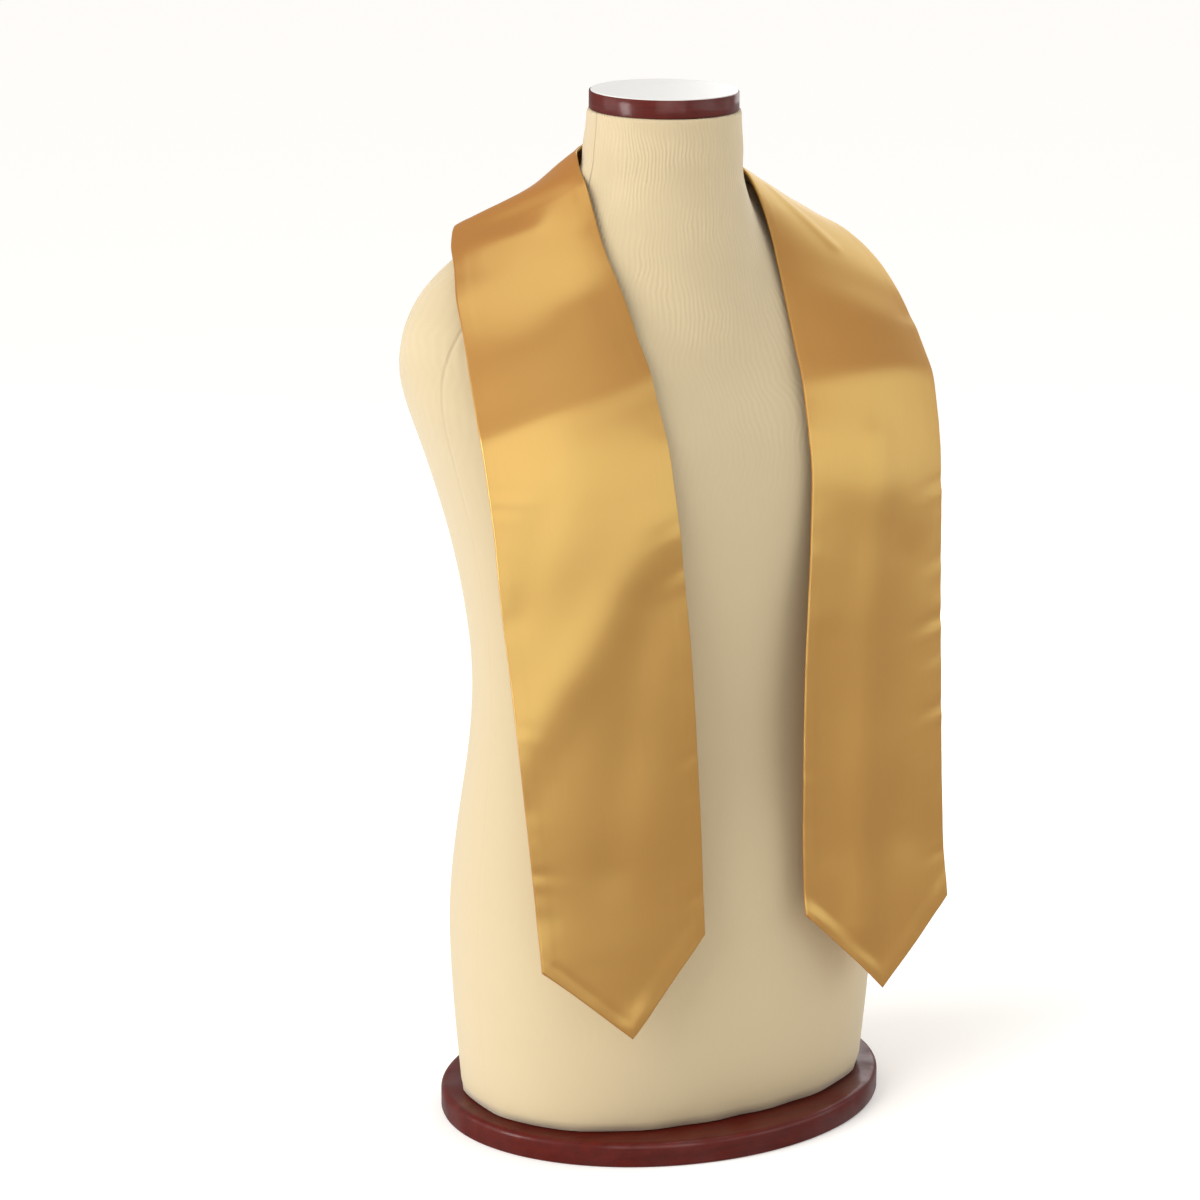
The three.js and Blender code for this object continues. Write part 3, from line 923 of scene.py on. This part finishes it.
class FORM_OT_build_neck_cap(bpy.types.Operator):
    """Builds the lacquered neck cap and the disc let into its top"""

    bl_idname = "form.build_neck_cap"
    bl_label = "Build Neck Cap"

    def execute(self, context):
        settings = context.scene.stand
        r = settings.cap_radius
        h = settings.cap_thickness
        e = settings.edge_round
        well = r - LIP
        rim = [
            (0, -h), (r - e, -h), (r - 0.3 * e, -h + 0.3 * e), (r, -h + e), (r, -e),
            (r - 0.3 * e, -0.3 * e), (r - e, 0), (well, 0), (well, -WELL_DEPTH), (0, -WELL_DEPTH),
        ]
        edge = well - CLEARANCE
        under = -WELL_DEPTH + CLEARANCE
        disc = [
            (0, under), (edge, under), (edge, DISC_RISE - 0.4 * MM),
            (edge - 0.12 * MM, DISC_RISE - 0.12 * MM), (edge - 0.5 * MM, DISC_RISE),
            (0, DISC_RISE + 0.2 * MM),  # slightly crowned
        ]
        tilt = Matrix.Rotation(CAP_TILT, 4, "X")
        seat = Matrix.Translation((0, 0, FORM_TOP - DISC_RISE)) @ tilt
        wood = lacquered_wood("beech_stained_and_lacquered", settings.wood_colour, (26.0, 26.0, 420.0))
        white = painted_board("white_laminate_pressed", settings.top_colour)
        for node, slot_name, profile, material in (
            ("neck_cap_rim", "lacquered_wood", rim, wood),
            ("neck_cap_top", "cap_top", disc, white),
        ):
            mesh = turned(node.replace("neck_cap", "cap"), profile, settings.round_steps, seat)
            mesh.materials.append(material)
            place_piece(mesh, node.replace("neck_cap", "cap"), node)
        return {"FINISHED"}


ROUND_STEPS = 8  # of the plate's rounded upper edge


class FORM_OT_build_base_plate(bpy.types.Operator):
    """Builds the oval plate that the form stands on"""

    bl_idname = "form.build_base_plate"
    bl_label = "Build Base Plate"

    def execute(self, context):
        settings = context.scene.stand
        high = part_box("base_plate")[1]
        r, thick = high.x, high.z
        e = settings.plate_round
        profile = [(0, 0), (r - 2 * MM, 0), (r - 0.6 * MM, 0.6 * MM), (r, 2 * MM), (r, thick - e)]
        for k in range(1, ROUND_STEPS + 1):
            a = math.radians(90 * k / ROUND_STEPS)
            profile.append((r - e + e * math.cos(a), thick - e + e * math.sin(a)))
        profile.append((0, thick))
        squash = Matrix.Diagonal((1, high.y / high.x, 1, 1))
        mesh = turned("base_oval", profile, settings.round_steps, squash)
        mesh.materials.append(
            lacquered_wood("beech_plate_stained_and_lacquered", settings.wood_colour, (14.0, 160.0, 160.0))
        )
        place_piece(mesh, "base_oval", "base_plate")
        return {"FINISHED"}


SHARP = math.radians(35)  # a turned piece's edge is sharp past this angle


def turned(name, profile, steps, placing):
    """A solid spun round Z from a profile of radius and height, then put in place."""
    bm = bmesh.new()
    verts = [bm.verts.new((radius, 0, height)) for radius, height in profile]
    edges = [bm.edges.new(pair) for pair in zip(verts, verts[1:])]
    bmesh.ops.spin(
        bm, geom=verts + edges, cent=(0, 0, 0), axis=(0, 0, 1), angle=2 * math.pi, steps=steps,
        use_merge=True,
    )
    bmesh.ops.remove_doubles(bm, verts=bm.verts, dist=MM / 1000)
    bmesh.ops.recalc_face_normals(bm, faces=bm.faces)
    bmesh.ops.transform(bm, matrix=placing, verts=bm.verts)
    for face in bm.faces:
        face.smooth = abs(face.normal.z) < 0.999  # all but the level ones
    for edge in bm.edges:
        edge.smooth = edge.calc_face_angle(0) < SHARP
    mesh = bpy.data.meshes.new(name)
    bm.to_mesh(mesh)
    bm.free()
    return mesh


# Softboxes: the centre in metres; the turn round from the front and the height from which each shines,
# and its roll, in degrees; its width and height in metres; and its share of the strength.
Softbox = namedtuple("Softbox", "name centre azimuth elevation roll width height share")
SOFTBOXES = [
    Softbox("front_softbox", (-0.75, -2.07, 0.97), -20, 0, 0, 1.8, 1.78, 0.95),
    Softbox("bridge_softbox", (-0.3, -1.6, 2.25), -2, 47, 0, 2.1, 0.8, 0.27),
    Softbox("side_softbox", (1.64, -1.48, 0.89), 48, 0, -5, 3.4, 1.22, 0.56),
    Softbox("top_softbox", (0.13, -0.26, 2.5), 0, 90, 0, 1.9, 1.33, 0.66),
    Softbox("back_softbox", (1.91, 1.4, 1.42), 125, 0, 0, 1.8, 1.85, 0.86),
    Softbox("corner_softbox", (2.02, 0.22, 1.95), 97, 32, 0, 0.7, 0.6, 0.42),
    Softbox("rim_softbox", (-2.05, 1.25, 0.8), -122, 0, 0, 1.1, 1.3, 0.7),
    Softbox("cap_strip", (-2.0, 0.1, 0.42), -93, 0, 0, 0.5, 1.0, 7.0),
]
# The cloth and the lacquer mirror these, and they light nothing.
HIGHLIGHTS_ONLY = ("front_softbox", "bridge_softbox", "corner_softbox", "cap_strip")
ROOM_TINT = (1.0, 0.99, 0.975, 1.0)
CAMERA_AIM = Vector((-57.0 * MM, 0, FORM_TOP - 397.7 * MM))


def towards(azimuth, elevation):
    """The direction at a turn round from the front and a height above level."""
    level = math.cos(elevation)
    return Vector((math.sin(azimuth) * level, -math.cos(azimuth) * level, math.sin(elevation)))


class STAGE_OT_build(bpy.types.Operator):
    """Builds the floor, the lights and the camera"""

    bl_idname = "stage.build"
    bl_label = "Build Stage"

    def execute(self, context):
        settings = context.scene.stage_settings
        self.floor(settings)
        self.room(context, settings)
        self.lights(settings)
        self.camera(context, settings)
        return {"FINISHED"}

    def floor(self, settings):
        """A pale disc, wide enough to run out of every view."""
        bm = bmesh.new()
        bmesh.ops.create_circle(bm, cap_ends=True, radius=settings.floor_radius, segments=96)
        mesh = bpy.data.meshes.new("studio_floor")
        bm.to_mesh(mesh)
        bm.free()
        mesh.materials.append(studio_floor("matt_floor_paint", settings.floor_colour))
        floor = bpy.data.objects.new("studio_floor", mesh)
        floor.visible_glossy = False  # the satin and the lacquer mirror the dim room instead
        bpy.context.scene.collection.objects.link(floor)

    def room(self, context, settings):
        """The dim, slightly warm room."""
        world = bpy.data.worlds.new("studio_room")
        context.scene.world = world
        world.use_nodes = True
        background = world.node_tree.nodes["Background"]
        background.inputs["Color"].default_value = ROOM_TINT
        background.inputs["Strength"].default_value = settings.room_strength

    def lights(self, settings):
        """A broad key from the wearer's right, and softboxes in front, beside, above and behind."""
        light = bpy.data.lights.new("key_light", "SUN")
        light.energy = settings.key_strength
        light.angle = settings.key_spread
        key = self.aim(light, towards(settings.key_azimuth, settings.key_elevation))
        key.visible_glossy = False  # the softboxes alone draw the highlights
        for box in SOFTBOXES:
            light = bpy.data.lights.new(box.name, "AREA")
            light.shape = "RECTANGLE"
            light.size, light.size_y = box.width, box.height
            light.energy = box.share * settings.softbox_strength * math.pi * box.width * box.height
            lamp = self.aim(light, towards(math.radians(box.azimuth), math.radians(box.elevation)))
            lamp.location = box.centre
            lamp.rotation_quaternion @= Quaternion((0, 0, 1), math.radians(box.roll))
            lamp.visible_diffuse = box.name not in HIGHLIGHTS_ONLY

    def aim(self, light, source):
        """Links a light so that it shines from a direction."""
        lamp = bpy.data.objects.new(light.name, light)
        lamp.rotation_mode = "QUATERNION"
        lamp.rotation_quaternion = source.to_track_quat("Z", "Y")
        bpy.context.scene.collection.objects.link(lamp)
        return lamp

    def camera(self, context, settings):
        """A long lens, a little above the form."""
        source = towards(settings.camera_azimuth, settings.camera_pitch)
        data = bpy.data.cameras.new("studio_camera")
        data.sensor_width = 36
        data.lens = settings.lens
        data.clip_end = 200
        camera = bpy.data.objects.new("studio_camera", data)
        camera.location = CAMERA_AIM + source * settings.camera_distance
        camera.rotation_mode = "QUATERNION"
        camera.rotation_quaternion = source.to_track_quat("Z", "Y")
        context.scene.collection.objects.link(camera)
        context.scene.camera = camera
        context.scene.view_settings.view_transform = "Standard"


class VIEW3D_PT_stole(bpy.types.Panel):
    """Lists every operator under the settings that it reads"""

    bl_label = "Stole on a Dress Form"
    bl_idname = "VIEW3D_PT_stole"
    bl_space_type = "VIEW_3D"
    bl_region_type = "UI"
    bl_category = "Stole"

    def draw(self, context):
        scene = context.scene
        for settings, operators in (
            (scene.stole, ["stole.build_halves"]),
            (scene.dress_form, ["form.build_cover"]),
            (scene.stand, ["form.build_neck_cap", "form.build_base_plate"]),
            (scene.stage_settings, ["stage.build"]),
        ):
            box = self.layout.box()
            for name in settings.__annotations__:
                box.prop(settings, name)
            for operator in operators:
                box.operator(operator)


CLASSES = (
    StoleSettings,
    FormSettings,
    StandSettings,
    StageSettings,
    STOLE_OT_build_halves,
    FORM_OT_build_cover,
    FORM_OT_build_neck_cap,
    FORM_OT_build_base_plate,
    STAGE_OT_build,
    VIEW3D_PT_stole,
)
SETTINGS = {
    "stole": StoleSettings,
    "dress_form": FormSettings,
    "stand": StandSettings,
    "stage_settings": StageSettings,
}


def register():
    for cls in CLASSES:
        bpy.utils.register_class(cls)
    for name, cls in SETTINGS.items():
        setattr(bpy.types.Scene, name, PointerProperty(type=cls))


def unregister():
    for name in SETTINGS:
        delattr(bpy.types.Scene, name)
    for cls in reversed(CLASSES):
        bpy.utils.unregister_class(cls)


def main():
    register()
    bpy.ops.stage.build()
    bpy.ops.form.build_cover()
    bpy.ops.form.build_neck_cap()
    bpy.ops.form.build_base_plate()
    bpy.ops.stole.build_halves()


if __name__ == "__main__":
    main()
